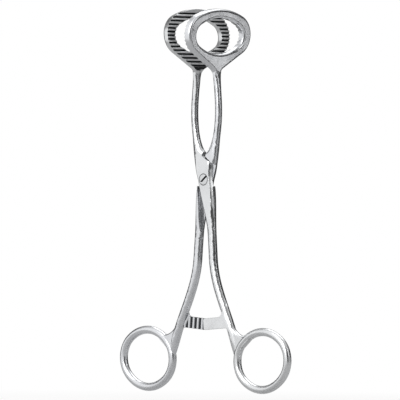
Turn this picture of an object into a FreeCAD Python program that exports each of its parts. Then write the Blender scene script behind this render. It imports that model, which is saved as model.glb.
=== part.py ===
"""Gallbladder forceps: two forged halves that cross in a lap joint on one slotted screw.

Millimetres. +Z runs up to the ring jaws, +X to the right jaw, -Y to the screw head. The pivot axis
is the Y axis, and the origin is where it meets the flat back of the joint. Each half is drawn as
it lies when the jaws are shut, with its middle plane at y = 0, and is then turned to its open pose.
The rear half is the front half's twin, turned half a turn about Z, apart from the screw hole.
"""
import FreeCAD, Part
import math
import os
import Sketcher

DOC = FreeCAD.newDocument("gallbladder_forceps")
SHEET = DOC.addObject("Spreadsheet::Sheet", "Sizes")

# Driving sizes, in millimetres and degrees, all given with the jaws shut
SIZES = {
    # pose and clearances
    "open_angle": 4.35,
    "closing_gap": 0.3,
    "lap_clearance": 0.06,
    "shoulder_gap": 0.3,
    "running_fit": 0.03,
    "thread_fit": 0.01,
    # joint
    "joint_thickness": 4.4,
    "joint_width": 9.0,
    "lap_end_height": 11.9,
    "lap_end_angle": 33.5,
    "lap_corner": 3.5,
    "crotch_width": 0.6,
    "lap_heel_drop": 3.8,
    "lap_foot_drop": 30.0,
    # shanks
    "bow_height": 31.0,
    "bow_spread": 6.1,
    "upper_width": 3.6,
    "upper_depth": 3.5,
    "lower_width": 4.6,
    "lower_depth": 4.3,
    "splay_drop": 41.5,
    # ring jaws
    "jaw_width": 46.5,
    "jaw_height": 75.8,
    "jaw_crown": 13.5,
    "jaw_thickness": 4.0,
    "jaw_hole_width": 35.0,
    "jaw_hole_height": 18.8,
    "jaw_hole_drop": 0.6,
    "jaw_root_drop": 21.0,
    "jaw_throat_round": 4.0,
    "jaw_root_width": 4.2,
    "jaw_round": 1.5,
    "groove_pitch": 1.93,
    "groove_width": 1.3,
    "groove_depth": 0.6,
    # finger rings
    "ring_width": 40.0,
    "ring_height": 34.2,
    "ring_band": 4.2,
    "ring_spread": 34.1,
    "ring_below_ratchet": 21.5,
    "ring_web": 9.5,
    "web_thickness": 3.4,
    # ratchet
    "ratchet_drop": 75.3,
    "ratchet_height": 6.0,
    "ratchet_thickness": 1.8,
    "ratchet_reach": 5.3,
    "ratchet_tip": 1.1,
    "ratchet_hollow": 3.0,
    "crest_gap": 0.2,
    "tooth_pitch": 3.1,
    "tooth_depth": 1.1,
    # screw
    "head_width": 5.8,
    "shaft_width": 3.2,
    "head_dome": 0.25,
    "slot_width": 1.0,
    "slot_depth": 0.7,
    "slot_angle": 40.0,
}
GROOVES = 15
TEETH = 5


def fill_sheet():
    """Write every driving size to its own row of the sheet, under its name."""
    for row, (name, value) in enumerate(SIZES.items(), start=1):
        SHEET.set("A%d" % row, name)
        SHEET.set("B%d" % row, str(value))
        SHEET.setAlias("B%d" % row, name)
    DOC.recompute()


def size(name):
    """A driving size, read back from the sheet."""
    return float(SHEET.get(name))


def ease(start, end, share):
    """Half a cosine wave from start to end, level at both ends."""
    return start + (end - start) * (1 - math.cos(math.pi * share)) / 2


def lower_centre():
    """How far a straight lower shank stands from the middle when the forceps are shut."""
    return (size("closing_gap") + size("lower_width")) / 2


def jaw_centre():
    """How far the middle of a jaw's thickness stands from the middle when the jaws are shut."""
    return (size("closing_gap") + size("jaw_thickness")) / 2


def jaw_root():
    """Height of the narrow foot of a jaw, where the shank runs into it."""
    return size("jaw_height") - size("jaw_root_drop")


def ring_drop():
    """How far the middle of a finger ring lies below the screw."""
    return size("ratchet_drop") + size("ring_below_ratchet")


def spine(up):
    """Centre of the front half's forging at a height: left above the screw, right below it."""
    if up >= size("bow_height"):
        share = (up - size("bow_height")) / (hole_foot() - size("bow_height"))
        return -ease(size("bow_spread"), jaw_centre(), min(share, 1))
    if up >= 0:
        return -size("bow_spread") * math.sin(math.pi / 2 * up / size("bow_height"))
    if up >= -size("lap_foot_drop"):
        return lower_centre() * math.sin(math.pi / 2 * -up / size("lap_foot_drop"))
    if up >= -size("splay_drop"):
        return lower_centre()
    ring_side = size("ring_spread") - (size("ring_width") - size("ring_band")) / 2
    share = (-size("splay_drop") - up) / (ring_drop() - size("splay_drop"))
    return ease(lower_centre(), ring_side, min(share, 1))


def lean(up):
    """Slope of the forging's middle line in the front view, outwards as it goes down."""
    step = 0.5
    return math.atan2(spine(up - step) - spine(up + step), 2 * step)


def hole_foot():
    """Height of the lowest point of a jaw's window."""
    return size("jaw_height") - size("jaw_hole_drop") - size("jaw_hole_height") / 2


def corner(up):
    """Extra width on the inner side of the plate, out to the slanting end that is cut off it."""
    corner_top = 1.47 * size("lap_end_height")
    if up <= 0 or up >= corner_top:
        return 0.0
    return size("lap_corner") * math.sin(math.pi * up / corner_top) ** 2


def station(up):
    """Centre, width, depth and squareness of the forging at a height, cut level."""
    straight_from = 0.84 * size("bow_height")
    joint_squareness, shank_squareness = 4.0, 2.3
    unmilled_depth = 1.2 * size("joint_thickness")
    if up >= 0:
        share = min(up / straight_from, 1)
        shank_width, shank_depth = size("upper_width"), size("upper_depth")
    else:
        share = min(-up / size("lap_foot_drop"), 1)
        shank_width, shank_depth = size("lower_width"), size("lower_depth")
    width = ease(size("joint_width"), shank_width, share)
    depth = ease(unmilled_depth, shank_depth, share)
    squareness = ease(joint_squareness, shank_squareness, share)
    neck = jaw_root() - 2 * size("upper_depth")
    if up > neck:
        hidden_width = 0.65 * size("jaw_thickness")
        root_depth = 1.1 * size("jaw_root_width")
        width = ease(width, hidden_width, (up - neck) / (shank_top_end() - neck))
        depth = ease(depth, root_depth, min((up - neck) / (jaw_root() - neck), 1))
    if up > jaw_root():
        sides_inside_throat = 1.2
        depth += sides_inside_throat * (throat_half(up) - size("jaw_root_width") / 2)
    if up < -size("splay_drop"):
        width /= math.cos(lean(up))
    merge = -ring_drop() + 3 * size("ring_band")
    if up < merge:
        hidden = 0.6 * size("ring_band")
        share = (merge - up) / (ring_drop() + merge)
        width = ease(width, hidden, share)
        depth = ease(depth, hidden, share)
    return spine(up) + corner(up) / 2, width + corner(up), depth, squareness


def shank_top_end():
    """Height at which the forging of the shank ends, hidden in the jaw below its window."""
    below_window = 4.0
    return hole_foot() - below_window


def oval(up):
    """Level section of the forging at a height: an oval, squared off towards the joint."""
    centre, width, depth, squareness = station(up)
    count = 12
    points = []
    for index in range(count):
        turn = 2 * math.pi * index / count
        east = math.copysign(abs(math.cos(turn)) ** (2 / squareness), math.cos(turn)) * width / 2
        north = math.copysign(abs(math.sin(turn)) ** (2 / squareness), math.sin(turn)) * depth / 2
        points.append(FreeCAD.Vector(centre + east, north, up))
    curve = Part.BSplineCurve()
    curve.interpolate(Points=points, PeriodicFlag=True)
    return Part.Wire([curve.toShape()])


def shank_shape():
    """The forging from the jaw's foot through the joint to the side of the finger ring."""
    upper_steps = 16
    lower_steps = 18
    heights = [shank_top_end() * (1 - index / upper_steps) for index in range(upper_steps)]
    heights += [-ring_drop() * index / lower_steps for index in range(lower_steps + 1)]
    return Part.makeLoft([oval(up) for up in heights], True, False)


def block(corners, front, deep):
    """A straight-sided outline in the front view, made deep mm thick backwards from front."""
    points = [FreeCAD.Vector(across, front, up) for across, up in corners]
    outline = Part.makePolygon(points + points[:1])
    return Part.Face(outline).extrude(FreeCAD.Vector(0, deep, 0))


def plate_end_shape():
    """What is sawn off the plate's end: all above its slanting edge and inside the crotch."""
    slope = math.tan(math.radians(size("lap_end_angle")))
    end = size("lap_end_height")
    crotch = -size("crotch_width") / 2
    far = 3 * size("joint_width")
    deep = 2 * size("joint_thickness")
    corners = [
        (crotch, end - slope * crotch),
        (far, end - slope * far),
        (far, 2 * end),
        (crotch, 2 * end),
    ]
    return block(corners, -deep, 2 * deep)


def lap_shape():
    """What is milled off the back layer, so that the other half's plate fits in and swings."""
    slope = math.tan(math.radians(size("lap_end_angle")))
    half = size("joint_width") / 2
    gap = size("shoulder_gap")
    far = 3 * half
    shoulder = size("lap_end_height") + gap
    heel = -size("lap_heel_drop")
    foot = -size("lap_foot_drop")
    inward = (half + size("closing_gap") / 2) / foot

    def inner_side(up):
        return half - inward * up + gap

    corners = [
        (-far, shoulder - slope * far),
        (far, shoulder + slope * far),
        (far, heel),
        (inner_side(heel), heel),
        (inner_side(1.1 * foot), 1.1 * foot),
        (-far, 1.1 * foot),
    ]
    return block(corners, -size("lap_clearance") / 2, 2 * size("joint_thickness"))


def arc(place, centre, radius, start, end):
    """A round stretch between two angles in degrees, about a centre of the drawing's own plane."""
    points = []
    for angle in (start, (start + end) / 2, end):
        turn = math.radians(angle)
        points.append(place(centre[0] + radius * math.cos(turn), centre[1] + radius * math.sin(turn)))
    return Part.Arc(*points).toShape()


def four_centres(half_width, half_height, side_radius):
    """Radius of an oval's long arcs, and the angle at which its round ends run into them."""
    long_radius = (half_width ** 2 + half_height ** 2 - 2 * half_width * side_radius) / (
        2 * (half_height - side_radius)
    )
    join = math.degrees(math.atan2(long_radius - half_height, half_width - side_radius))
    return long_radius, join


def oval_wire(place, half_width, half_height, side_radius):
    """A drawn oval: two round ends and two flatter arcs that run into them."""
    long_radius, join = four_centres(half_width, half_height, side_radius)
    end = half_width - side_radius
    top = half_height - long_radius
    return Part.Wire([
        arc(place, (end, 0), side_radius, -join, join),
        arc(place, (0, top), long_radius, join, 180 - join),
        arc(place, (-end, 0), side_radius, 180 - join, 180 + join),
        arc(place, (0, -top), long_radius, 180 + join, 360 - join),
    ])


def flank_turn():
    """Angle below level of the outward direction of a jaw's straight flank, in degrees.

    The flank touches the cheek on its inner side and the throat's hollow arc on its outer side.
    """
    cheek = cheek_radius()
    throat = size("jaw_throat_round")
    across = size("jaw_width") / 2 - cheek - size("jaw_root_width") / 2 - throat
    apart = math.hypot(across, size("jaw_root_drop"))
    lean_over = math.atan2(across, size("jaw_root_drop"))
    return math.degrees(lean_over + math.asin((cheek + throat) / apart))


def cheek_radius():
    """Radius of the round ends of a jaw's outline, a little less than its crown is high."""
    share_of_crown = 0.81
    return share_of_crown * size("jaw_crown")


def throat_half(up):
    """Half the width of a jaw's foot at a height a little above its root."""
    radius = size("jaw_throat_round")
    rise = min(up - jaw_root(), radius)
    return size("jaw_root_width") / 2 + radius - math.sqrt(radius ** 2 - rise ** 2)


def jaw_outline(place):
    """Pear-shaped rim of a jaw: a drawn oval's crown and cheeks, straight flanks, hollow throats."""
    half = size("jaw_width") / 2
    crown = size("jaw_crown")
    cheek = cheek_radius()
    throat = size("jaw_throat_round")
    root_half = size("jaw_root_width") / 2
    root = -size("jaw_root_drop")
    side = half - cheek
    long_radius, join = four_centres(half, crown, cheek)
    turn = flank_turn()
    level, drop = math.cos(math.radians(turn)), math.sin(math.radians(turn))

    def flank(hand):
        high = place(hand * (side + cheek * level), -cheek * drop)
        low = place(hand * (root_half + throat - throat * level), root + throat * drop)
        return Part.LineSegment(high, low).toShape()

    return Part.Wire([
        arc(place, (side, 0), cheek, -turn, join),
        arc(place, (0, crown - long_radius), long_radius, join, 180 - join),
        arc(place, (-side, 0), cheek, 180 - join, 180 + turn),
        flank(-1),
        arc(place, (-root_half - throat, root), throat, turn, 0),
        Part.LineSegment(place(-root_half, root), place(root_half, root)).toShape(),
        arc(place, (root_half + throat, root), throat, 180, 180 - turn),
        flank(1),
    ])


def flank_band(window_half, window_end_radius):
    """Width of metal between a jaw's window and its straight flank."""
    turn = math.radians(flank_turn())
    across = size("jaw_width") / 2 - cheek_radius() - window_half + window_end_radius
    nearer = across * math.cos(turn) - size("jaw_hole_drop") * math.sin(turn)
    return cheek_radius() + nearer - window_end_radius


def jaw_shape():
    """A ring jaw: flat towards its twin, rounded on the outside, with an oval window."""
    face_x = -size("closing_gap") / 2
    back_x = face_x - size("jaw_thickness")
    window_half = size("jaw_hole_width") / 2
    window_height = size("jaw_hole_height") / 2
    window_middle = hole_foot() + window_height
    window_end_radius = 0.66 * window_height

    def on_jaw(across, up):
        return FreeCAD.Vector(back_x, across, size("jaw_height") + up)

    def on_window(across, up):
        return FreeCAD.Vector(back_x, across, window_middle + up)

    through = FreeCAD.Vector(size("jaw_thickness"), 0, 0)
    blank = Part.Face(jaw_outline(on_jaw)).extrude(through)
    window = oval_wire(on_window, window_half, window_height, window_end_radius)
    ring = blank.cut(Part.Face(window).extrude(through))
    on_back, above_root = 1e-6, 1.0
    rims = [
        edge for edge in ring.Edges
        if abs(edge.BoundBox.XMax - back_x) < on_back and edge.BoundBox.ZMax > jaw_root() + above_root
    ]
    bands = [
        size("jaw_width") / 2 - window_half,
        size("jaw_crown") + size("jaw_hole_drop") - window_height,
        flank_band(window_half, window_end_radius),
        size("jaw_root_width"),
        size("jaw_thickness"),
    ]
    nearly_half = 0.45
    round_off = min(size("jaw_round"), nearly_half * min(bands))
    ring = ring.makeFillet(round_off, rims)
    return ring.common(jaw_side(face_x, back_x)).cut(grooves(face_x))


def jaw_side(face_x, back_x):
    """Side view of a jaw as a block: its face runs out into the shank below the last groove."""
    spare = 1.0
    rise = 4.5
    foot = jaw_root() - spare
    top = size("jaw_height") + size("jaw_crown") + spare
    wide = size("jaw_width")
    toe = spine(jaw_root()) + 0.1 * size("upper_width")
    corners = [
        (back_x - spare, foot),
        (toe, foot),
        (face_x, jaw_root() + rise),
        (face_x, top),
        (back_x - spare, top),
    ]
    points = [FreeCAD.Vector(x, -wide, up) for x, up in corners]
    outline = Part.makePolygon(points + points[:1])
    return Part.Face(outline).extrude(FreeCAD.Vector(0, 2 * wide, 0))


def grooves(face_x):
    """The cross grooves of a jaw's face, from its foot to its crown: notches with even sides."""
    spare = size("groove_width") / 2
    pitch = size("groove_pitch")
    wide = size("jaw_width")
    top_land = 1.35 * pitch
    highest = size("jaw_height") + size("jaw_crown") - top_land
    half = size("groove_width") / 2 * (1 + spare / size("groove_depth"))
    cutters = []
    for index in range(GROOVES):
        up = highest - index * pitch
        points = [
            FreeCAD.Vector(face_x + spare, -wide, up - half),
            FreeCAD.Vector(face_x + spare, -wide, up + half),
            FreeCAD.Vector(face_x - size("groove_depth"), -wide, up),
        ]
        outline = Part.makePolygon(points + points[:1])
        cutters.append(Part.Face(outline).extrude(FreeCAD.Vector(0, 2 * wide, 0)))
    return Part.makeCompound(cutters)


def ring_bend():
    """Half width, half height and end radius of the line that a finger ring's bar is bent to."""
    end_share = 0.87
    half_width = (size("ring_width") - size("ring_band")) / 2
    half_height = (size("ring_height") - size("ring_band")) / 2
    return half_width, half_height, end_share * half_height


def ring_shape():
    """A finger ring: a round bar bent to a drawn oval, a little lower than it is wide."""

    def on_ring(across, up):
        return FreeCAD.Vector(size("ring_spread") + across, 0, up - ring_drop())

    path = oval_wire(on_ring, *ring_bend())
    start = path.Edges[0]
    at = start.valueAt(start.FirstParameter)
    along = start.tangentAt(start.FirstParameter)
    bar = Part.Wire([Part.Circle(at, along, size("ring_band") / 2).toShape()])
    return path.makePipeShell([bar], True, False)


def web_centre(bend, reach, radius):
    """Centre of a round that touches the shank's outer side and the ring, found by halving."""
    high, low = -size("splay_drop"), -ring_drop()
    for halving in range(30):
        up = (high + low) / 2
        centre = FreeCAD.Vector(spine(up) + (size("lower_width") / 2 + radius) / math.cos(lean(up)), 0, up)
        if centre.distanceToPoint(bend) > reach + radius:
            high = up
        else:
            low = up
    return centre


def web_shape():
    """The web in the corner between a shank and its finger ring, hollowed out by a round."""
    half_width, half_height, end_radius = ring_bend()
    deep = size("web_thickness")
    round_off = 0.4 * deep
    sunk = 0.3
    radius = size("ring_web") + sunk
    bend = FreeCAD.Vector(size("ring_spread") - half_width + end_radius, 0, -ring_drop())
    centre = web_centre(bend, end_radius + size("ring_band") / 2 - 2 * sunk, radius - sunk)
    outward = FreeCAD.Vector(math.cos(lean(centre.z)), 0, math.sin(lean(centre.z)))
    to_ring = (bend - centre).normalize()
    on_shank = centre - outward * radius
    on_ring = centre + to_ring * radius
    deepest = centre + (to_ring - outward).normalize() * radius
    in_ring = on_ring + to_ring * (size("ring_band") / 2)
    toward_shank = FreeCAD.Vector(-1, 0, 0)
    beside = (in_ring - bend).normalize() + toward_shank * 2
    corners = [
        on_ring,
        in_ring,
        bend + beside.normalize() * end_radius,
        FreeCAD.Vector(spine(on_shank.z), 0, on_shank.z),
        on_shank,
    ]
    hollow = Part.Arc(on_shank, deepest, on_ring).toShape()
    outline = Part.Wire([hollow] + Part.makePolygon(corners).Edges)
    outline.translate(FreeCAD.Vector(0, -deep / 2, 0))
    plate = Part.Face(outline).extrude(FreeCAD.Vector(0, deep, 0))
    rims = [edge for edge in plate.Edges if edge.Curve.TypeId == "Part::GeomCircle"]
    return plate.makeFillet(round_off, rims)


def ratchet_outline(place):
    """Front view of a ratchet arm: a round tip, and hollow corners where it grows out of the shank."""
    half = size("ratchet_height") / 2
    hollow = size("ratchet_hollow")
    tip = -size("ratchet_reach")
    round_off = size("ratchet_tip")
    root_top = spine(half + hollow - size("ratchet_drop"))
    root_foot = spine(-half - hollow - size("ratchet_drop"))
    inside = 0.25 * size("lower_width")
    edge_top = root_top - inside
    edge_foot = root_foot - inside

    def side(start, end):
        return Part.LineSegment(place(*start), place(*end)).toShape()

    return Part.Wire([
        side((edge_foot - hollow, -half), (tip + round_off, -half)),
        arc(place, (tip + round_off, round_off - half), round_off, 270, 180),
        side((tip, round_off - half), (tip, half - round_off)),
        arc(place, (tip + round_off, half - round_off), round_off, 180, 90),
        side((tip + round_off, half), (edge_top - hollow, half)),
        arc(place, (edge_top - hollow, half + hollow), hollow, 270, 360),
        side((edge_top, half + hollow), (root_top, half + hollow)),
        side((root_top, half + hollow), (root_foot, -half - hollow)),
        side((root_foot, -half - hollow), (edge_foot, -half - hollow)),
        arc(place, (edge_foot - hollow, -half - hollow), hollow, 0, 90),
    ])


def ratchet_shape():
    """The ratchet arm in the front layer, with its saw teeth on the back face."""
    crest = -size("crest_gap") / 2
    front = crest - size("ratchet_thickness")
    valley = crest - size("tooth_depth")
    pitch = size("tooth_pitch")
    tip = -size("ratchet_reach")
    far = size("ring_spread")
    tall = size("ratchet_height") + 2 * size("ratchet_hollow")
    low = -size("ratchet_drop") - tall / 2
    ramp, land = 0.75, 0.15
    corners = [(far, front), (tip, front)]
    for index in range(TEETH):
        start = tip + index * pitch
        corners += [
            (start, valley),
            (start + ramp * pitch, crest),
            (start + (ramp + land) * pitch, crest),
        ]
    corners += [(tip + (TEETH - 1 + ramp + land) * pitch, valley), (far, valley)]
    points = [FreeCAD.Vector(x, y, low) for x, y in corners]
    outline = Part.makePolygon(points + points[:1])
    toothed = Part.Face(outline).extrude(FreeCAD.Vector(0, 0, tall))

    def on_front(across, up):
        return FreeCAD.Vector(across, front, up - size("ratchet_drop"))

    plate = Part.Face(ratchet_outline(on_front)).extrude(FreeCAD.Vector(0, size("ratchet_thickness"), 0))
    return toothed.common(plate)


def shape_object(name, shape):
    """A forged form as an object of the document."""
    item = DOC.addObject("Part::Feature", name)
    item.Shape = shape
    return item


def joined(kind, name, pieces):
    """A boolean of several objects."""
    item = DOC.addObject(kind, name)
    item.Shapes = pieces
    return item


def cut(name, base, tool):
    """One object less another."""
    item = DOC.addObject("Part::Cut", name)
    item.Base = base
    item.Tool = tool
    return item


def bar_along_y(name, radius, start, length):
    """A cylinder on the pivot axis, sized by expressions of the sheet."""
    item = DOC.addObject("Part::Cylinder", name)
    item.setExpression("Radius", radius)
    item.setExpression("Height", length)
    item.Placement = FreeCAD.Placement(
        FreeCAD.Vector(0, 0, 0), FreeCAD.Rotation(FreeCAD.Vector(1, 0, 0), -90)
    )
    item.setExpression("Placement.Base.y", start)
    return item


def head_seat(name):
    """The countersink for the screw's head, in the front face."""
    item = DOC.addObject("Part::Cone", name)
    spare = 0.5
    item.setExpression("Radius1", "Sizes.head_width / 2 + Sizes.running_fit + %g" % spare)
    item.setExpression("Radius2", "Sizes.shaft_width / 2 + Sizes.running_fit")
    item.setExpression("Height", "(Sizes.head_width - Sizes.shaft_width) / 2 + %g" % spare)
    item.Placement = FreeCAD.Placement(
        FreeCAD.Vector(0, 0, 0), FreeCAD.Rotation(FreeCAD.Vector(1, 0, 0), -90)
    )
    item.setExpression("Placement.Base.y", "-Sizes.joint_thickness / 2 - %g" % spare)
    return item


def slab(name):
    """The two ground flats of the joint, as a block between them."""
    item = DOC.addObject("Part::Box", name)
    item.setExpression("Length", "4 * Sizes.ring_width")
    item.setExpression("Width", "Sizes.joint_thickness")
    item.setExpression("Height", "4 * Sizes.ratchet_drop")
    item.setExpression("Placement.Base.x", "-2 * Sizes.ring_width")
    item.setExpression("Placement.Base.y", "-Sizes.joint_thickness / 2")
    item.setExpression("Placement.Base.z", "-2 * Sizes.ratchet_drop")
    return item


def forged_half(name, holes, half_turn):
    """One half: forging, flats, lap, holes, jaw, ring, web and ratchet arm, turned to its open pose."""
    shank = shape_object(name + "_shank", shank_shape())
    flats = joined("Part::MultiCommon", name + "_flats", [shank, slab(name + "_slab")])
    ended = cut(name + "_ended", flats, shape_object(name + "_end", plate_end_shape()))
    lapped = cut(name + "_lapped", ended, shape_object(name + "_lap", lap_shape()))
    jaw = shape_object(name + "_jaw", jaw_shape())
    ring = shape_object(name + "_ring", ring_shape())
    web = shape_object(name + "_web", web_shape())
    arm = shape_object(name + "_arm", ratchet_shape())
    whole = joined("Part::MultiFuse", name + "_whole", [lapped, jaw, ring, web, arm])
    for index, hole in enumerate(holes, start=1):
        whole = cut("%s_bored%d" % (name, index), whole, hole)
    turn = FreeCAD.Rotation(FreeCAD.Vector(0, 0, 1), 180 if half_turn else 0)
    lean = size("open_angle") * (1 if half_turn else -1)
    tilt = FreeCAD.Rotation(FreeCAD.Vector(0, 1, 0), lean)
    whole.Placement = FreeCAD.Placement(FreeCAD.Vector(0, 0, 0), tilt.multiply(turn))
    whole.setExpression("Placement.Base.y", "-Sizes.joint_thickness / 2")
    whole.Label = name
    return whole


def front_half():
    """The half whose plate lies in front: a running hole and the seat of the screw's head."""
    hole = bar_along_y(
        "front_hole", "Sizes.shaft_width / 2 + Sizes.running_fit",
        "-Sizes.joint_thickness", "2 * Sizes.joint_thickness",
    )
    return forged_half("front_half", [hole, head_seat("front_seat")], False)


def rear_half():
    """The half whose plate lies behind: the hole that holds the end of the screw."""
    hole = bar_along_y(
        "rear_hole", "Sizes.shaft_width / 2 + Sizes.thread_fit",
        "-Sizes.joint_thickness", "2 * Sizes.joint_thickness",
    )
    return forged_half("rear_half", [hole], True)


def origin_plane(body, role):
    """One of a body's own origin planes."""
    return next(item for item in body.Origin.OriginFeatures if item.Role == role)


def draw(sketch, corners):
    """A closed outline of straight sides, each corner held by two expressions of the sheet."""
    places = [
        FreeCAD.Vector(float(sketch.evalExpression(x)), float(sketch.evalExpression(y)), 0)
        for x, y in corners
    ]
    first = sketch.GeometryCount
    count = len(corners)
    for index in range(count):
        side = Part.LineSegment(places[index], places[(index + 1) % count])
        sketch.addGeometry(side, False)
    for index in range(count):
        here = first + index
        following = first + (index + 1) % count
        sketch.addConstraint(Sketcher.Constraint("Coincident", here, 2, following, 1))
    for index, (x, y) in enumerate(corners):
        for kind, text, value in (("DistanceX", x, places[index].x), ("DistanceY", y, places[index].y)):
            held = sketch.addConstraint(Sketcher.Constraint(kind, -1, 1, first + index, 1, value))
            sketch.setExpression("Constraints[%d]" % held, text)


def pivot_screw():
    """The slotted screw: a countersunk head with a low crown and a plain shaft, turned and slotted."""
    body = DOC.addObject("PartDesign::Body", "pivot_screw")
    profile = body.newObject("Sketcher::SketchObject", "screw_profile")
    profile.AttachmentSupport = (origin_plane(body, "XY_Plane"), "")
    profile.MapMode = "FlatFace"
    face = "-Sizes.joint_thickness"
    draw(profile, [
        ("0", face + " - Sizes.head_dome"),
        ("0.3 * Sizes.head_width", face + " - 0.7 * Sizes.head_dome"),
        ("Sizes.head_width / 2", face),
        ("Sizes.shaft_width / 2", face + " + (Sizes.head_width - Sizes.shaft_width) / 2"),
        ("Sizes.shaft_width / 2", "0"),
        ("0", "0"),
    ])
    turned = body.newObject("PartDesign::Revolution", "turned_screw")
    turned.Profile = profile
    turned.ReferenceAxis = (profile, ["V_Axis"])
    turned.Angle = 360
    slot = body.newObject("Sketcher::SketchObject", "screw_slot")
    slot.AttachmentSupport = (origin_plane(body, "XZ_Plane"), "")
    slot.MapMode = "FlatFace"
    slot.setExpression("AttachmentOffset.Base.z", "Sizes.joint_thickness - Sizes.slot_depth")
    slot.setExpression("AttachmentOffset.Rotation.Angle", "Sizes.slot_angle")
    draw(slot, [
        ("-Sizes.head_width", "-Sizes.slot_width / 2"),
        ("Sizes.head_width", "-Sizes.slot_width / 2"),
        ("Sizes.head_width", "Sizes.slot_width / 2"),
        ("-Sizes.head_width", "Sizes.slot_width / 2"),
    ])
    DOC.recompute()
    solid = body.Shape.Volume
    sawn = body.newObject("PartDesign::Pocket", "sawn_slot")
    sawn.Profile = slot
    sawn.Type = "ThroughAll"
    sawn.Reversed = True
    DOC.recompute()
    if not body.Shape.Volume < solid:
        raise RuntimeError("the slot cuts nothing")
    body.Label = "pivot_screw"
    return body


def check(pieces):
    """Stop unless every object is in order and every piece is a sound solid."""
    for item in DOC.Objects:
        if "Invalid" in item.State or "Error" in item.State:
            raise RuntimeError("%s is out of order: %s" % (item.Name, item.State))
    for piece in pieces:
        shape = piece.Shape
        if shape.isNull() or not shape.isValid():
            raise RuntimeError("%s is not a valid shape" % piece.Label)


fill_sheet()
pieces = [front_half(), rear_half(), pivot_screw()]
DOC.recompute()
check(pieces)
os.makedirs("parts", exist_ok=True)
for piece in pieces:
    piece.Shape.exportStep("parts/%s.step" % piece.Label)
    print(piece.Label, len(piece.Shape.Solids), "solid", round(piece.Shape.Volume, 2), piece.Shape.BoundBox)
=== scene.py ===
"""Ring-jawed gallbladder forceps in satin steel, dressed over the fixed frame.

Metres, in the frame's own axes: +Z runs up to the ring jaws, +X to the right jaw, -Y to the screw
head. The forceps are upright and half open, with their finger rings just above a plain pale floor.
Both forgings and the screw are copies of their CAD parts' own surfaces, with eased arrises, smoothed
normals and a satin steel, with painted shade in its grooves, teeth, slot, narrow corners and screw seam.
The light is a dim room with broad windows and a few soft lamps.
"""

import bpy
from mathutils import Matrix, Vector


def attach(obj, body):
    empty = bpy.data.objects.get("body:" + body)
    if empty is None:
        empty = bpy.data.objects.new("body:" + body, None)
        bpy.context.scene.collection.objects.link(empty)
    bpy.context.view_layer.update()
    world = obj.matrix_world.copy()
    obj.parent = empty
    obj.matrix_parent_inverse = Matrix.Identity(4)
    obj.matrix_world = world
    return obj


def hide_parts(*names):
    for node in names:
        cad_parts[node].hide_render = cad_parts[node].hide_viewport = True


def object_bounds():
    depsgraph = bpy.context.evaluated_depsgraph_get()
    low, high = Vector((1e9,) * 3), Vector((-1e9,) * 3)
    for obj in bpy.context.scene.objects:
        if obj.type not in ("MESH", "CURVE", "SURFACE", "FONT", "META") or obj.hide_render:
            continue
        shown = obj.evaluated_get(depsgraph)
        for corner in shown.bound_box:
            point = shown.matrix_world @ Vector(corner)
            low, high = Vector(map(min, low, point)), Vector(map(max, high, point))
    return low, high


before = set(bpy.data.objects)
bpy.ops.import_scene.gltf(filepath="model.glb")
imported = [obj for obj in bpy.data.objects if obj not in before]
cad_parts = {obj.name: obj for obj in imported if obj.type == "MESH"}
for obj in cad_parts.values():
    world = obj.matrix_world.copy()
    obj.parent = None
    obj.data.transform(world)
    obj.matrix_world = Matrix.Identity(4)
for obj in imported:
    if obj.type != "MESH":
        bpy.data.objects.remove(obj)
cad_box = [[float(value) for value in corner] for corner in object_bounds()]

import math

import bmesh
import bpy
import numpy as np
from mathutils import Vector

MM = 0.001

# The frame's own sizes, repeated from the CAD
OPEN_ANGLE = math.radians(4.35)      # how far each half is turned from shut
FACE_GAP = 0.15 * MM                 # half the gap between the shut jaws' faces
GROOVE_DEPTH = 0.6 * MM              # depth of the jaws' cross grooves
GROOVE_FROM = 50 * MM                # height from which the jaws' faces are grooved
LAYER_PLANE = -2.2 * MM              # the plane between the two halves, along Y
CREST_GAP = 0.1 * MM                 # how far the ratchet's crests stand back from that plane
TOOTH_DEPTH = 1.1 * MM               # depth of the ratchet's teeth
RATCHET_FROM = -79 * MM              # heights between which the ratchet's teeth lie
RATCHET_TO = -72 * MM
RATCHET_REACH = 7.5 * MM             # how far the teeth reach towards their shank
SLOT_FLOOR = -3.7 * MM               # where the bottom of the screw's slot lies, along Y
FRONT_FLAT = -4.25 * MM              # just behind the joint's front face, along Y
HEAD_RADIUS = 2.93 * MM              # radius of the seam between the screw's head and its seat

# How the surfaces are eased and polished
WELD = 0.0001 * MM                   # corners nearer than this are one
TRUE_FLAT = math.radians(0.03)       # facets that turn less than this are one flat
ARRIS_ANGLE = math.radians(28)       # edges that turn more than this are arrises
FORGING_EASE = 0.12 * MM             # width of the bevel on the forgings' arrises
SCREW_EASE = 0.08 * MM               # width of the bevel on the screw's arrises
FLAT_WEIGHT = 60                     # how strongly the larger facet rules a shared normal
LARGE_FLAT = 4 * MM * MM             # facets larger than this are flats
FEWEST_FLAT_SIDES = 5                # facets with this many sides or more are flats
NORMAL_STEP = 1 / 40                 # normals nearer than this at one corner are one
POLISH_REACH = 3 * MM                # how far polishing evens out the skin
POLISH_STROKES = 12
POLISH_SHARE = 0.6                   # share of a normal that one stroke replaces
POLISH_EDGE = 0.8                    # likeness of two normals below which polishing leaves an edge

# How the grooves and lands are told apart
NEAR = 0.05 * MM                     # points nearer to a plane than this lie on it
FOOT = 1.05                          # share of a groove's depth that still counts as its foot
TOWARDS = 0.3                        # faces that look this much towards the twin half are inner faces
SQUARE_ON = 0.95                     # faces that look this much towards the twin jaw are lands
# painted shade: how dark the ratchet's valleys are painted, beside the jaw's grooves
VALLEY_SHADE = 0.8                   # darkness of a ratchet valley beside that of a jaw's groove

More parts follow.
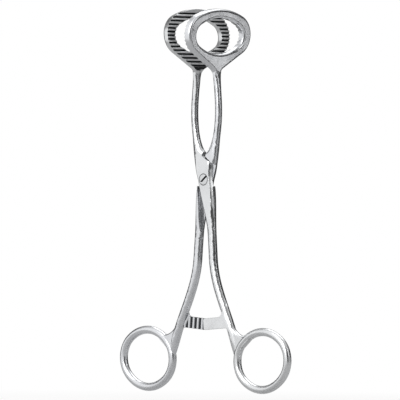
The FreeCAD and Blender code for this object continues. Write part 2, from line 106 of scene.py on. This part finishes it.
# The steel's patterns: how often each repeats in a metre, along X, Y and Z where it is stretched
BRUSHING = (2800, 2800, 110)
SCRATCHES = (900, 900, 70)
SCRATCH_SLANTS = (0.5, -0.9)         # how the scratches lean off the brushing, in radians
SCRATCH_WIDTH = 0.025                # width of a scratch, as a share of the space between two
SCRATCH_PATCHES = 120
SATIN = 7000
WAVES = 150
WAVE_STRETCH = (1, 1, 0.4)
SMEARS = 55
EVEN = (1, 1, 1)                     # no stretch

# The steel's relief: the strength and depth of each pattern, apart from the brushing's strength
WAVE_RELIEF = (0.35, 0.06 * MM)
SATIN_RELIEF = (0.25, 0.004 * MM)
SCRATCH_RELIEF = (0.4, 0.006 * MM)
BRUSHING_DEPTH = 0.012 * MM

# The levels of a pattern, or of a corner's openness, between which its effect grows from none to full
SCRATCHED = (0.48, 0.66)
WORN = (0.35, 0.7)
ROUGHENED = (0.3, 0.72)
# HOLLOWED, SHELTERED and HOLLOW_CURVE shape the painted shade in hollows and narrow corners
HOLLOWED = (0.02, 0.3)
SHELTERED = (0.3, 0.8)
HOLLOW_CURVE = 1.6                   # the power by which a hollow's darkness grows with its depth

# What each pattern adds to the steel's roughness
ROUGH_BRUSHING = 0.09
ROUGH_SCRATCH = 0.16
ROUGH_HOLLOW = 0.25
ROUGH_LAND = 0.3

# Painted shade: a dark hairline painted round the screw head's seam, which fades between two distances
# from its middle, and darkening painted into corners narrower than CORNER_REACH
SEAM_FROM, SEAM_TO = 0.12 * MM, 0.26 * MM
CORNER_REACH = 1.1 * MM
CORNER_SHADE = 0.85

# Colours, as shares of light
BRIGHT_LAND = (0.86, 0.87, 0.88, 1)  # steel as ground, on the jaws' lands
# painted shade: the near-black laid into grooves, ratchet valleys, the screw's slot, narrow corners and
# the head's seam
PAINTED_HOLLOW_SHADE = (0.035, 0.037, 0.04, 1)
FLOOR_TONE = (0.92, 0.92, 0.92, 1)
FLOOR_MIRRORED = (0.55, 0.55, 0.55, 1)    # the floor as the steel sees it

# The floor: its half width, and the ring in which it fades to pure white, from its first share of white
RING_SWING = 5.5 * MM                # room for the right finger ring, which swings down as the jaws shut
FLOOR_HALF = 0.36
FLOOR_LINES = 13                     # how many lines of corners it has each way
FADE_FROM, FADE_TO = 0.13, 0.34
FIRST_WHITE = 0.6

# The room: its own light, the light of the ceiling, and the sines of the heights between which the
# ceiling's light grows. Matt things are lit by an even sky.
ROOM_LIGHT = 0.06
CEILING_LIGHT = 0.75
CEILING_FROM, CEILING_TO = 0.4, 0.85
SKY_FOR_MATT = 0.5

# Windows in the room's walls: degrees round from the camera, half width, softness of the edge, light
WALL_WINDOWS = (
    (-62, 48, 6, 1.05),
    (50, 14, 5, 0.65),
    (180, 24, 8, 0.3),
)

# Lamps: degrees round from the camera, degrees above level, distance, width, height and watts
LAMP_AIM = Vector((0, 0, -10 * MM))
LAMPS = {
    "key": (-40, 34, 1.1, 0.7, 1.0, 6.0),
    "fill": (60, 26, 1.3, 0.2, 0.7, 1.0),
    "top": (160, 60, 1.2, 1.0, 0.7, 4.0),
    "jaw_card": (92, -1.4, 1.0, 0.3, 0.08, 0.12),
}

# The camera: a long lens, level, between the object's front and its right side
VIEW_AZIMUTH = math.radians(44.0)
VIEW_ROLL = math.radians(0.4)        # the drawing's small lean on its page
VIEW_DISTANCE = 4.637
VIEW_SHIFT = -4.7 * MM               # the middle of the view, to the right of the pivot
VIEW_HEIGHT = -10.7 * MM             # the middle of the view, above the pivot
LENS, SENSOR = 800, 36               # focal length and sensor width, in millimetres


# The meshes of the three pieces

def values_of(rows, name, kind, width=1):
    """One value, or one row of width values, of each element of a mesh, as an array."""
    values = np.empty(len(rows) * width, kind)
    rows.foreach_get(name, values)
    return values.reshape(-1, width) if width > 1 else values


def welded_skin(node):
    """Corners and triangles of a node, with corners that share a place made one.

    Each corner's place is rounded to a multiple of WELD, and equal places are merged. Triangles that
    lose a side in this are left out.
    """
    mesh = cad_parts[node].data
    mesh.calc_loop_triangles()
    places = values_of(mesh.vertices, "co", np.float32, 3)
    corners = values_of(mesh.loop_triangles, "vertices", np.int32, 3)
    keys = np.round(places.astype(float) / WELD).astype(np.int64)
    first, merged = np.unique(keys, axis=0, return_index=True, return_inverse=True)[1:]
    triangles = merged.reshape(-1)[corners]
    one, two, three = triangles.T
    whole = (one != two) & (two != three) & (three != one)
    return places[first], triangles[whole]


def shut_places(places, side):
    """How far out towards its own jaw's side, and how high, each point lies when the jaws are shut.

    The places are turned back about the pivot by the angle at which each half stands open.
    """
    turn = side * OPEN_ANGLE
    across = places[:, 0] * math.cos(turn) - places[:, 2] * math.sin(turn)
    up = places[:, 0] * math.sin(turn) + places[:, 2] * math.cos(turn)
    return side * across, up


def groove_shade(places, normals, side):
    """How deep each point lies in a cross groove of the jaw's face, from 0 on a land to 1 at its foot.

    The face is the plane at FACE_GAP in the shut pose. The shade is the depth behind that plane over
    the depth of a groove, for faces that look towards the twin jaw and lie no deeper than a groove.
    """
    outward, up = shut_places(places, side)
    depth = outward - FACE_GAP
    share = np.clip(depth / GROOVE_DEPTH, 0, 1)
    on_face = (up > GROOVE_FROM) & (depth < FOOT * GROOVE_DEPTH) & (side * normals[:, 0] < -TOWARDS)
    return np.where(on_face, share, 0.0)


def tooth_shade(places, normals, side):
    """How deep each point lies between the ratchet's crests, from 0 on a crest to 1 in a valley.

    The teeth of each half look towards the plane between the halves, so the depth is the distance
    from that plane, less the crest's own gap, over the depth of a tooth.
    """
    outward, up = shut_places(places, side)
    depth = side * (places[:, 1] - LAYER_PLANE) - CREST_GAP
    share = np.clip(depth / TOOTH_DEPTH, 0, 1)
    on_teeth = (
        (up > RATCHET_FROM) & (up < RATCHET_TO) & (-outward < RATCHET_REACH)
        & (depth < FOOT * TOOTH_DEPTH) & (side * normals[:, 1] < -TOWARDS)
    )
    return np.where(on_teeth, VALLEY_SHADE * share, 0.0)


def ground_shade(places, normals, side):
    """1 on the flat lands of a jaw's face, which are left as ground, and 0 on all polished faces.

    A land looks straight at the twin jaw and lies in the plane at FACE_GAP when the jaws are shut.
    """
    outward, up = shut_places(places, side)
    facing = side * (normals[:, 0] * math.cos(OPEN_ANGLE) - side * normals[:, 2] * math.sin(OPEN_ANGLE))
    on_land = (up > GROOVE_FROM) & (np.abs(outward - FACE_GAP) < NEAR) & (facing < -SQUARE_ON)
    return np.where(on_land, 1.0, 0.0)


def slot_shade(places):
    """1 on the bottom of the screw's slot, which is the plane at SLOT_FLOOR, and 0 elsewhere; the steel
    paints shade there.
    """
    return np.where(np.abs(places[:, 1] - SLOT_FLOOR) < NEAR, 1.0, 0.0)


def shaded(mesh, side):
    """Write to each corner how deep it lies in a hollow, which the steel turns into painted shade, and
    whether it is on a ground land.
    """
    sides = values_of(mesh.polygons, "loop_total", np.int32)
    normals = np.repeat(values_of(mesh.polygons, "normal", np.float32, 3), sides, axis=0)
    corners = values_of(mesh.loops, "vertex_index", np.int32)
    places = values_of(mesh.vertices, "co", np.float32, 3)[corners]
    if side:
        hollow = np.maximum(groove_shade(places, normals, side), tooth_shade(places, normals, side))
        ground = ground_shade(places, normals, side)
    else:
        hollow = slot_shade(places)
        ground = np.zeros(len(places))
    for title, values in (("hollow", hollow), ("ground", ground)):
        shade = mesh.attributes.new(title, "FLOAT", "CORNER")
        shade.data.foreach_set("value", values.astype(np.float32))


def eased(piece, width):
    """Bevel a piece's arrises, and let its large flats rule the normals beside them."""
    ease = piece.modifiers.new("eased_arrises", "BEVEL")
    ease.width = width
    ease.segments = 2
    ease.limit_method = "ANGLE"
    ease.angle_limit = ARRIS_ANGLE
    ease.use_clamp_overlap = False
    flats = piece.modifiers.new("flats_kept_even", "WEIGHTED_NORMAL")
    flats.mode = "FACE_AREA_WITH_ANGLE"
    flats.weight = FLAT_WEIGHT
    flats.keep_sharp = True


def baked(piece):
    """Make a piece's modifiers part of its mesh."""
    view = bpy.context.evaluated_depsgraph_get()
    mesh = bpy.data.meshes.new_from_object(
        piece.evaluated_get(view), preserve_all_data_layers=True, depsgraph=view,
    )
    piece.modifiers.clear()
    piece.data = mesh
    return mesh


def polished(mesh):
    """Even out how the curved skin turns, as a polishing wheel does, and leave the flats alone.

    Each corner's normal is drawn towards those of its neighbours along the edges of its faces, again
    and again. The pull falls with the edge's length and with the angle between the two normals, and
    corners of large flats stay as they are.
    """
    normals = values_of(mesh.corner_normals, "vector", np.float32, 3).astype(float)
    corner = values_of(mesh.loops, "vertex_index", np.int32)
    places = values_of(mesh.vertices, "co", np.float32, 3)
    sides = values_of(mesh.polygons, "loop_total", np.int32)
    areas = values_of(mesh.polygons, "area", np.float32)
    ends = np.cumsum(sides)
    following = np.arange(1, len(corner) + 1)
    following[ends - 1] = ends - sides

    keys = np.column_stack([corner, np.round(normals / NORMAL_STEP).astype(np.int64)])
    group = np.unique(keys, axis=0, return_inverse=True)[1].reshape(-1)
    count = group.max() + 1
    turned_to = np.zeros((count, 3))
    np.add.at(turned_to, group, normals)
    turned_to /= np.linalg.norm(turned_to, axis=1, keepdims=True)
    held = np.zeros(count, bool)
    held[group[np.repeat((sides >= FEWEST_FLAT_SIDES) | (areas > LARGE_FLAT), sides)]] = True

    here, there = group, group[following]
    reach = np.linalg.norm(places[corner] - places[corner[following]], axis=1)
    near = np.exp(-(reach / POLISH_REACH) ** 2)
    tiny = 1e-9
    for stroke in range(POLISH_STROKES):
        likeness = np.einsum("ij,ij->i", turned_to[here], turned_to[there])
        alike = np.clip((likeness - POLISH_EDGE) / (1 - POLISH_EDGE), 0, 1)
        pull = (near * alike)[:, None]
        total, weight = tiny * turned_to, np.full((count, 1), tiny)
        for one, other in ((here, there), (there, here)):
            np.add.at(total, one, pull * turned_to[other])
            np.add.at(weight, one, pull)
        drawn = (1 - POLISH_SHARE) * turned_to + POLISH_SHARE * total / weight
        drawn /= np.linalg.norm(drawn, axis=1, keepdims=True)
        turned_to = np.where(held[:, None], turned_to, drawn)
    mesh.normals_split_custom_set(turned_to[group].tolist())


def steel_piece(name, node, body, side, ease):
    """A piece with the node's form: one welded skin, flats made whole, its arrises eased round.

    Side is -1 for the half with the left jaw, 1 for the half with the right jaw, and 0 for the screw.
    """
    places, triangles = welded_skin(node)
    mesh = bpy.data.meshes.new(name)
    mesh.from_pydata(places.tolist(), [], triangles.tolist())
    mesh.validate()
    form = bmesh.new()
    form.from_mesh(mesh)
    bmesh.ops.dissolve_limit(form, angle_limit=TRUE_FLAT, verts=form.verts[:], edges=form.edges[:])
    form.to_mesh(mesh)
    form.free()
    shaded(mesh, side)
    mesh.polygons.foreach_set("use_smooth", np.ones(len(mesh.polygons), bool))
    mesh.set_sharp_from_angle(angle=ARRIS_ANGLE)
    piece = bpy.data.objects.new(name, mesh)
    bpy.context.scene.collection.objects.link(piece)
    eased(piece, ease)
    polished(baked(piece))
    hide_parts(node)
    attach(piece, body)
    return piece


# The steel

def node(tree, kind, **values):
    """A node of a material, with its settings given by name."""
    made = tree.nodes.new(kind)
    for name, value in values.items():
        setattr(made, name, value)
    return made


def turned(tree, source, lean, stretch):
    """The piece's own coordinates, turned upright by its lean and stretched along each axis."""
    placed = node(tree, "ShaderNodeMapping")
    placed.inputs["Rotation"].default_value = (0, lean, 0)
    placed.inputs["Scale"].default_value = stretch
    tree.links.new(source, placed.inputs["Vector"])
    return placed.outputs["Vector"]


def grain(tree, source, scale, detail, rough=0.5):
    """A soft random pattern of a scale, from 0 to 1."""
    made = node(tree, "ShaderNodeTexNoise")
    made.inputs["Scale"].default_value = scale
    made.inputs["Detail"].default_value = detail
    made.inputs["Roughness"].default_value = rough
    tree.links.new(source, made.inputs["Vector"])
    return made.outputs["Fac"]


def ranged(tree, source, low, high, to_low, to_high):
    """A value carried from one range to another, held at both ends."""
    made = node(tree, "ShaderNodeMapRange", clamp=True)
    for name, value in (("From Min", low), ("From Max", high), ("To Min", to_low), ("To Max", to_high)):
        made.inputs[name].default_value = value
    tree.links.new(source, made.inputs["Value"])
    return made.outputs["Result"]


def combined(tree, kind, first, second=0.0):
    """Two values added, multiplied or compared, or one value's root or size."""
    made = node(tree, "ShaderNodeMath", operation=kind)
    for socket, value in zip(made.inputs, (first, second)):
        if isinstance(value, (int, float)):
            socket.default_value = value
        else:
            tree.links.new(value, socket)
    return made.outputs["Value"]


def span(tree, parts, axes):
    """How long a vector is, counted along two of its axes."""
    squares = [combined(tree, "MULTIPLY", parts.outputs[axis], parts.outputs[axis]) for axis in axes]
    return combined(tree, "SQRT", combined(tree, "ADD", *squares))


def blended(tree, share, first, second):
    """A colour between two: a colour is four numbers, or the outcome of another node."""
    mix = node(tree, "ShaderNodeMix", data_type="RGBA")
    tree.links.new(share, mix.inputs[0])
    for socket, colour in zip(mix.inputs[6:8], (first, second)):
        if isinstance(colour, tuple):
            socket.default_value = colour
        else:
            tree.links.new(colour, socket)
    return mix.outputs[2]


def raised(tree, height, relief, below=None):
    """A bump of a strength and a depth in metres, laid over another."""
    strength, depth = relief
    made = node(tree, "ShaderNodeBump")
    made.inputs["Strength"].default_value = strength
    made.inputs["Distance"].default_value = depth
    tree.links.new(height, made.inputs["Height"])
    if below is not None:
        tree.links.new(below, made.inputs["Normal"])
    return made.outputs["Normal"]


def head_seam_shadow(tree, here):
    """A painted shadow line round the screw's head: a narrow dark ring on the front flat, about the pivot.
    """
    parts = node(tree, "ShaderNodeSeparateXYZ")
    tree.links.new(here, parts.inputs[0])
    radius = span(tree, parts, "XZ")
    off = combined(tree, "ABSOLUTE", combined(tree, "SUBTRACT", radius, HEAD_RADIUS))
    ring = ranged(tree, off, SEAM_FROM, SEAM_TO, 1.0, 0.0)
    front = ranged(tree, parts.outputs["Y"], FRONT_FLAT - NEAR, FRONT_FLAT + NEAR, 1.0, 0.0)
    return combined(tree, "MULTIPLY", ring, front)


def scratches_on(tree, here, lean):
    """Hairline scratches along two slants, in patches."""
    lines = []
    for slant in SCRATCH_SLANTS:
        hair = node(tree, "ShaderNodeTexVoronoi", feature="DISTANCE_TO_EDGE")
        hair.inputs["Scale"].default_value = 1.0
        tree.links.new(turned(tree, here, lean + slant, SCRATCHES), hair.inputs["Vector"])
        lines.append(ranged(tree, hair.outputs["Distance"], 0.0, SCRATCH_WIDTH, 1.0, 0.0))
    hairlines = combined(tree, "MAXIMUM", *lines)
    clouds = grain(tree, turned(tree, here, lean, EVEN), SCRATCH_PATCHES, 2.0)
    patches = ranged(tree, clouds, *SCRATCHED, 0.0, 1.0)
    return combined(tree, "MULTIPLY", hairlines, patches)


def painted_shade_in(tree, here):
    """How much painted shade a place gets, from 0 to 1: in grooves and between teeth, in narrow corners,
    and along the head's seam.
    """
    hollow = node(tree, "ShaderNodeAttribute", attribute_name="hollow").outputs["Fac"]
    groove = combined(tree, "POWER", ranged(tree, hollow, *HOLLOWED, 0.0, 1.0), HOLLOW_CURVE)
    # painted shade in narrow corners, from how enclosed each place is
    shelter = node(tree, "ShaderNodeAmbientOcclusion", samples=8)
    shelter.inputs["Distance"].default_value = CORNER_REACH
    corner = ranged(tree, shelter.outputs["AO"], *SHELTERED, CORNER_SHADE, 0.0)
    return combined(tree, "MAXIMUM", combined(tree, "MAXIMUM", groove, corner), head_seam_shadow(tree, here))


def satin_steel(name, lean, light, dark, rough_low, rough_high, brushed):
    """Stainless steel: fine lengthwise brushing, a satin grain, hairline scratches and faint smears, with
    painted shade in hollows, narrow corners and the head's seam.
    """
    material = bpy.data.materials.new(name)
    material.use_nodes = True
    tree = material.node_tree
    shader = tree.nodes["Principled BSDF"]
    shader.inputs["Metallic"].default_value = 1.0
    here = node(tree, "ShaderNodeTexCoord").outputs["Object"]

    brushing = grain(tree, turned(tree, here, lean, BRUSHING), 1.0, 3.0)
    satin = grain(tree, turned(tree, here, lean, EVEN), SATIN, 2.0)
    waves = grain(tree, turned(tree, here, lean, WAVE_STRETCH), WAVES, 1.0)
    smears = grain(tree, turned(tree, here, lean, EVEN), SMEARS, 4.0, 0.6)
    scratches = scratches_on(tree, here, lean)
    # depth is the painted shade: darkness laid into grooves, teeth, the slot, narrow corners and the
    # head's seam
    depth = painted_shade_in(tree, here)
    ground = node(tree, "ShaderNodeAttribute", attribute_name="ground").outputs["Fac"]

    worn = ranged(tree, smears, *WORN, 0.0, 1.0)
    tone = blended(tree, worn, (*light, 1), (*dark, 1))
    fresh = blended(tree, ground, tone, BRIGHT_LAND)
    # the painted shade darkens the steel towards near-black
    tree.links.new(blended(tree, depth, fresh, PAINTED_HOLLOW_SHADE), shader.inputs["Base Color"])

    finish = ranged(tree, smears, *ROUGHENED, rough_low, rough_high)
    added = (
        (brushing, ROUGH_BRUSHING),
        (scratches, ROUGH_SCRATCH),
        (depth, ROUGH_HOLLOW),
        (ground, ROUGH_LAND),
    )
    for pattern, share in added:
        finish = combined(tree, "ADD", finish, combined(tree, "MULTIPLY", pattern, share))
    tree.links.new(finish, shader.inputs["Roughness"])

    skin = raised(tree, waves, WAVE_RELIEF)
    skin = raised(tree, brushing, (brushed, BRUSHING_DEPTH), skin)
    skin = raised(tree, satin, SATIN_RELIEF, skin)
    skin = raised(tree, scratches, SCRATCH_RELIEF, skin)
    tree.links.new(skin, shader.inputs["Normal"])
    return material


def dressed(name, node, body, side, ease, steel):
    """Make a steel piece and put its steel on it, and on the CAD part that it stands for."""
    piece = steel_piece(name, node, body, side, ease)
    piece.data.materials.append(steel)
    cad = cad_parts[node]
    for place in cad.material_slots:
        place.material = steel
    if not cad.material_slots:
        cad.data.materials.append(steel)


# The steels: lean of the brushing, fresh and worn colour, least and most roughness, relief of the brushing
front_steel = satin_steel(
    "front_satin_steel", -OPEN_ANGLE, (0.74, 0.75, 0.76), (0.65, 0.66, 0.67), 0.15, 0.25, 0.5,
)
rear_steel = satin_steel(
    "rear_satin_steel", OPEN_ANGLE, (0.73, 0.74, 0.76), (0.64, 0.65, 0.67), 0.15, 0.25, 0.5,
)
screw_steel = satin_steel(
    "turned_screw_steel", 0.0, (0.70, 0.71, 0.72), (0.62, 0.63, 0.64), 0.13, 0.21, 0.2,
)

dressed("front_forging", "front_half", "front", -1, FORGING_EASE, front_steel)
dressed("rear_forging", "rear_half", "rear", 1, FORGING_EASE, rear_steel)
dressed("slotted_screw", "pivot_screw", "rear", 0, SCREW_EASE, screw_steel)


# Floor, light and view

def seen_by(tree, names):
    """1 for the named kinds of ray, else 0."""
    path = node(tree, "ShaderNodeLightPath")
    total = path.outputs[names[0]]
    for name in names[1:]:
        total = combined(tree, "MAXIMUM", total, path.outputs[name])
    return total


def pale_floor():
    """A wide flat sheet under the finger rings: white to the eye, and it keeps the soft shadow.

    It lies a little below the rings, because the right one swings lower as the jaws shut.
    """
    low = cad_box[0][2] - RING_SWING
    line = np.linspace(-FLOOR_HALF, FLOOR_HALF, FLOOR_LINES)
    grid_x, grid_y = np.meshgrid(line, line, indexing="ij")
    points = np.stack([grid_x, grid_y, np.full_like(grid_x, low)], axis=-1).reshape(-1, 3)
    index = np.arange(FLOOR_LINES ** 2).reshape(FLOOR_LINES, FLOOR_LINES)
    corners = (index[:-1, :-1], index[1:, :-1], index[1:, 1:], index[:-1, 1:])
    quads = np.stack(corners, axis=-1).reshape(-1, 4)
    mesh = bpy.data.meshes.new("floor")
    mesh.from_pydata(points.tolist(), [], quads.tolist())
    floor = bpy.data.objects.new("floor", mesh)
    bpy.context.scene.collection.objects.link(floor)
    material = bpy.data.materials.new("pale_floor")
    material.use_nodes = True
    tree = material.node_tree
    tree.nodes.clear()
    matt = node(tree, "ShaderNodeBsdfDiffuse")
    mirrored = seen_by(tree, ("Is Glossy Ray",))
    tree.links.new(blended(tree, mirrored, FLOOR_TONE, FLOOR_MIRRORED), matt.inputs["Color"])
    glow = node(tree, "ShaderNodeEmission")
    glow.inputs["Strength"].default_value = 1.0
    here = node(tree, "ShaderNodeTexCoord").outputs["Object"]
    reach = node(tree, "ShaderNodeVectorMath", operation="LENGTH")
    tree.links.new(here, reach.inputs[0])
    whiteness = ranged(tree, reach.outputs["Value"], FADE_FROM, FADE_TO, FIRST_WHITE, 1.0)
    seen = seen_by(tree, ("Is Camera Ray",))
    blend = node(tree, "ShaderNodeMixShader")
    tree.links.new(combined(tree, "MULTIPLY", seen, whiteness), blend.inputs["Fac"])
    tree.links.new(matt.outputs[0], blend.inputs[1])
    tree.links.new(glow.outputs[0], blend.inputs[2])
    out = node(tree, "ShaderNodeOutputMaterial")
    tree.links.new(blend.outputs[0], out.inputs["Surface"])
    mesh.materials.append(material)


def wall_light(tree, parts, azimuth, half_width, soft):
    """1 where a level direction lies within an angle of an azimuth round the object, fading over soft."""
    centre = VIEW_AZIMUTH + math.radians(azimuth)
    east = combined(tree, "MULTIPLY", parts.outputs["X"], math.sin(centre))
    north = combined(tree, "MULTIPLY", parts.outputs["Y"], -math.cos(centre))
    length = combined(tree, "MAXIMUM", span(tree, parts, "XY"), 1e-4)
    toward = combined(tree, "DIVIDE", combined(tree, "ADD", east, north), length)
    edge_out = math.cos(math.radians(half_width + soft))
    edge_in = math.cos(math.radians(half_width - soft))
    return ranged(tree, toward, edge_out, edge_in, 0.0, 1.0)


def studio_world():
    """White to the eye; for the steel, a dim room with broad soft windows, mostly on the left."""
    world = bpy.data.worlds.new("studio")
    bpy.context.scene.world = world
    world.use_nodes = True
    tree = world.node_tree
    tree.nodes.clear()
    way = node(tree, "ShaderNodeTexCoord").outputs["Generated"]
    parts = node(tree, "ShaderNodeSeparateXYZ")
    tree.links.new(way, parts.inputs[0])
    ceiling = ranged(tree, parts.outputs["Z"], CEILING_FROM, CEILING_TO, 0.0, CEILING_LIGHT)
    room = combined(tree, "MAXIMUM", ceiling, ROOM_LIGHT)
    for azimuth, half_width, soft, level in WALL_WINDOWS:
        lit = combined(tree, "MULTIPLY", wall_light(tree, parts, azimuth, half_width, soft), level)
        room = combined(tree, "MAXIMUM", room, lit)
    shown = combined(tree, "MAXIMUM", room, seen_by(tree, ("Is Camera Ray", "Is Transmission Ray")))
    matt = seen_by(tree, ("Is Diffuse Ray",))
    drop = combined(tree, "MULTIPLY", matt, combined(tree, "SUBTRACT", shown, SKY_FOR_MATT))
    light = node(tree, "ShaderNodeBackground")
    light.inputs["Color"].default_value = (1, 1, 1, 1)
    tree.links.new(combined(tree, "SUBTRACT", shown, drop), light.inputs["Strength"])
    out = node(tree, "ShaderNodeOutputWorld")
    tree.links.new(light.outputs[0], out.inputs["Surface"])


def aim(thing, target):
    """Turn a lamp or camera to look at a point."""
    thing.rotation_euler = (thing.location - target).to_track_quat("Z", "Y").to_euler()


def from_view(azimuth, elevation, distance, target):
    """A place at an angle round the object, counted from the front towards the right."""
    level = math.cos(elevation)
    away = Vector((math.sin(azimuth) * level, -math.cos(azimuth) * level, math.sin(elevation)))
    return target + away * distance


def lamp(name, turn, rise, distance, wide, high, power):
    """A soft lamp, placed by its angle from the camera's side and its height."""
    data = bpy.data.lights.new(name, "AREA")
    data.shape = "RECTANGLE"
    data.size = wide
    data.size_y = high
    data.energy = power
    made = bpy.data.objects.new(name, data)
    bpy.context.scene.collection.objects.link(made)
    azimuth = VIEW_AZIMUTH + math.radians(turn)
    made.location = from_view(azimuth, math.radians(rise), distance, LAMP_AIM)
    aim(made, LAMP_AIM)


def view_camera():
    """A long lens, level with the object, between its front and its right side."""
    data = bpy.data.cameras.new("view")
    data.lens = LENS
    data.sensor_width = SENSOR
    camera = bpy.data.objects.new("view", data)
    bpy.context.scene.collection.objects.link(camera)
    right = Vector((math.cos(VIEW_AZIMUTH), math.sin(VIEW_AZIMUTH), 0))
    target = right * VIEW_SHIFT + Vector((0, 0, VIEW_HEIGHT))
    camera.location = from_view(VIEW_AZIMUTH, 0.0, VIEW_DISTANCE, target)
    aim(camera, target)
    camera.rotation_euler.rotate_axis("Z", VIEW_ROLL)
    bpy.context.scene.camera = camera


pale_floor()
studio_world()
for title, setting in LAMPS.items():
    lamp(title, *setting)
view_camera()
bpy.context.scene.view_settings.view_transform = "Standard"
